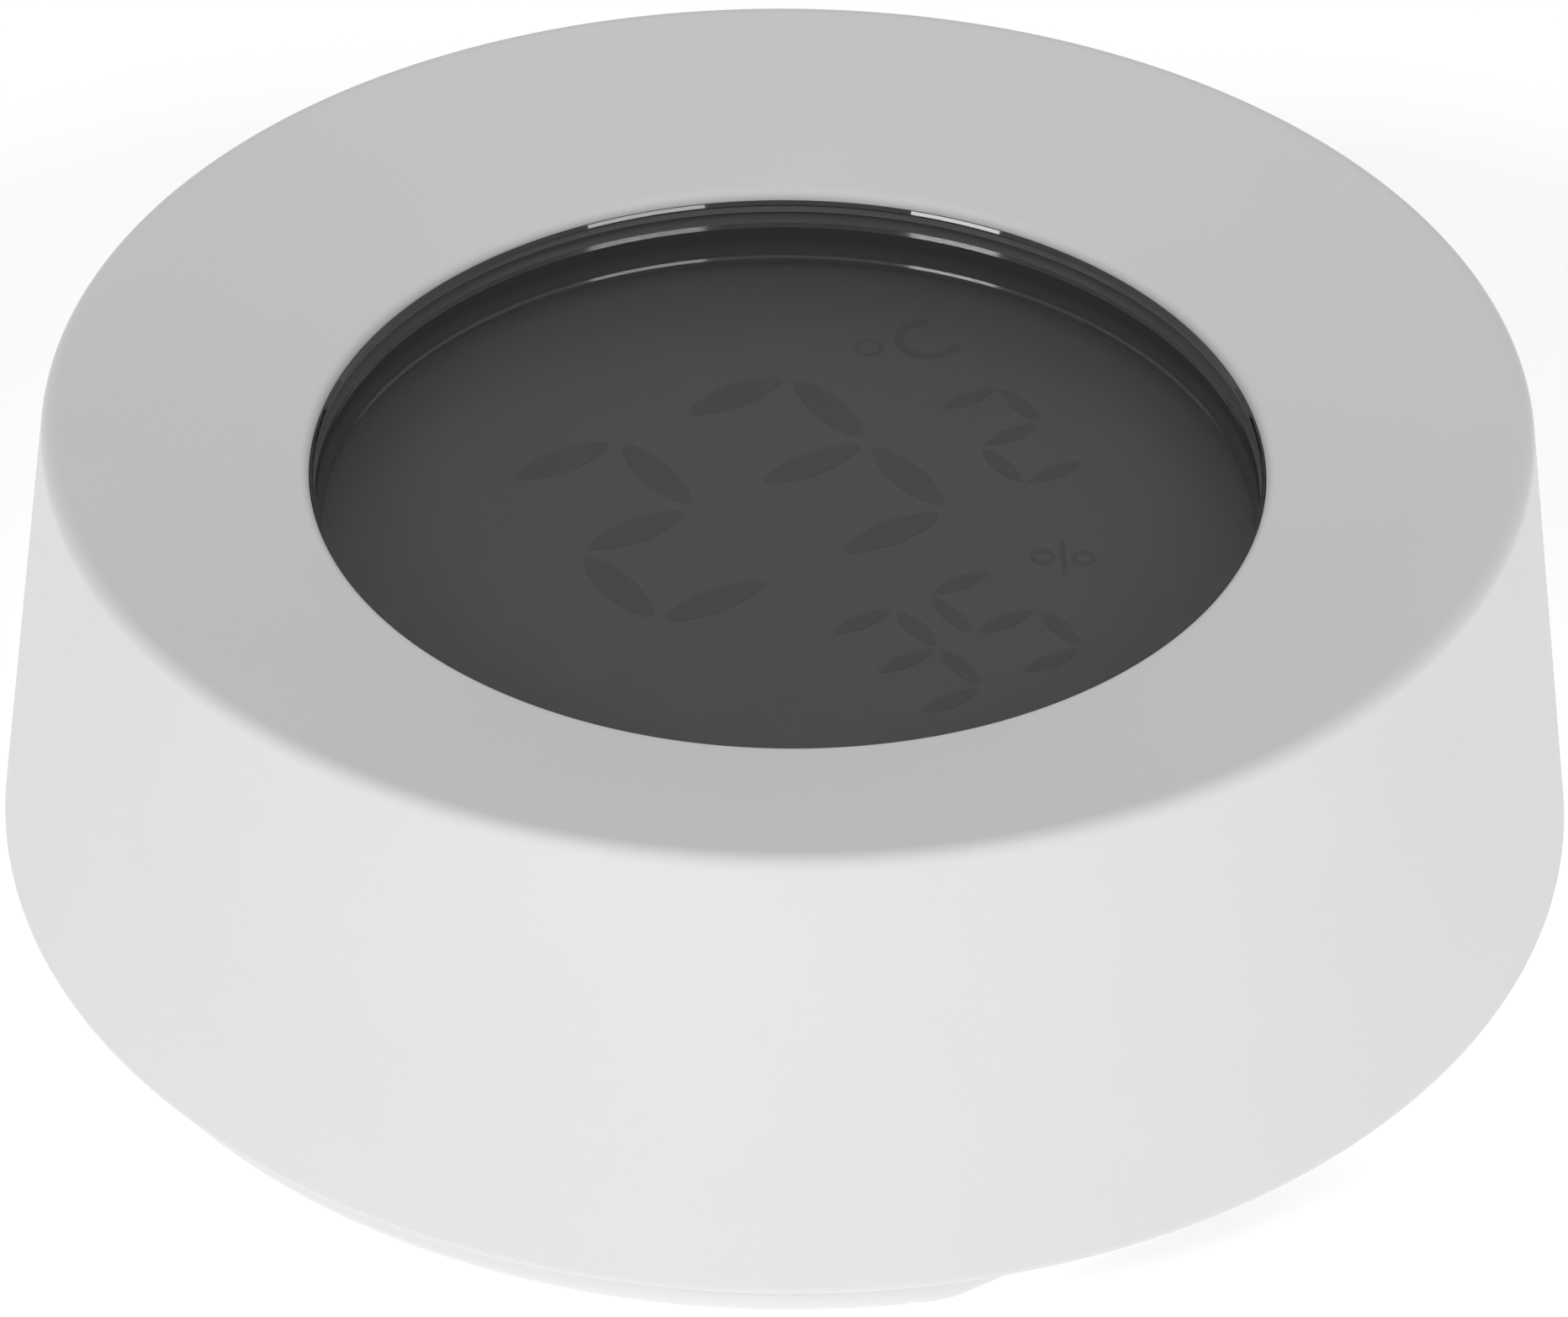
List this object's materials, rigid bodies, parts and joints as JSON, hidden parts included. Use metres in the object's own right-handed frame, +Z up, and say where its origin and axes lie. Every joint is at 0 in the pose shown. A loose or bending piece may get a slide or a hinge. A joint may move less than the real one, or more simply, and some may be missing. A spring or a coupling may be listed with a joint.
{
  "type": "temperature humidity sensor",
  "caption": "Round white puck-shaped room sensor with a dished top ring, a smoked window over a segment display, and a smaller base that pulls off to reach the batteries.",
  "frame": {"origin": "on the axis, at the level that the rubber feet stand on", "axes": "+Z up along the axis, -Y towards the finger notch, so that the display reads upright along +Y"},
  "size_m": [0.072, 0.072, 0.0245],
  "materials": {
    "white_plastic": "matte moulded",
    "smoked_window": "polished, smoked",
    "black_plastic": "matte",
    "display_glass": "clear",
    "polarizer_film": "film",
    "reflector_film": "satin film",
    "segment_ink": "matte",
    "seal_resin": "matte",
    "zebra_rubber": "matte",
    "board_laminate": "solder mask",
    "chip_plastic": "matte",
    "chip_ceramic": "matte",
    "steel": "plated",
    "gasket_foam": "foam",
    "button_plastic": "matte",
    "plunger_plastic": "matte",
    "battery_jacket": "printed sleeve over steel",
    "foot_rubber": "matte"
  },
  "bodies": {
    "base": {"base_cover": "white_plastic", "rubber_feet": "foot_rubber"},
    "sensor": {"housing": "white_plastic", "window_lens": "smoked_window", "lens_adhesive": "black_plastic", "display_frame": "black_plastic", "front_polarizer": "polarizer_film", "front_glass": "display_glass", "display_segments": "segment_ink", "cell_seal": "seal_resin", "rear_glass": "display_glass", "rear_reflector": "reflector_film", "display_tray": "white_plastic", "zebra_connector": "zebra_rubber", "circuit_board": "board_laminate", "radio_board": "board_laminate", "shield_can": "steel", "sensor_chip": "chip_plastic", "sensor_gasket": "gasket_foam", "crystal": "steel", "chip_capacitors": "chip_ceramic", "chip_resistors": "chip_plastic", "power_inductor": "chip_plastic", "pairing_switch": "chip_plastic", "battery_tray": "white_plastic", "tray_screws": "steel", "battery_left": "battery_jacket", "battery_right": "battery_jacket", "positive_terminal": "steel", "negative_terminal": "steel", "bridge_contact": "steel"},
    "button": {"pairing_button": "button_plastic", "switch_plunger": "plunger_plastic"}
  },
  "joints": [
    {"name": "sensor_lift", "type": "slide", "parent": "base", "child": "sensor", "axis": [0, 0, 1], "range_m": [0, 0.03]},
    {"name": "button_press", "type": "slide", "parent": "sensor", "child": "button", "axis": [0, 0, 1], "range_m": [0, 0.0003], "stiffness_N_per_m": 400}
  ]
}
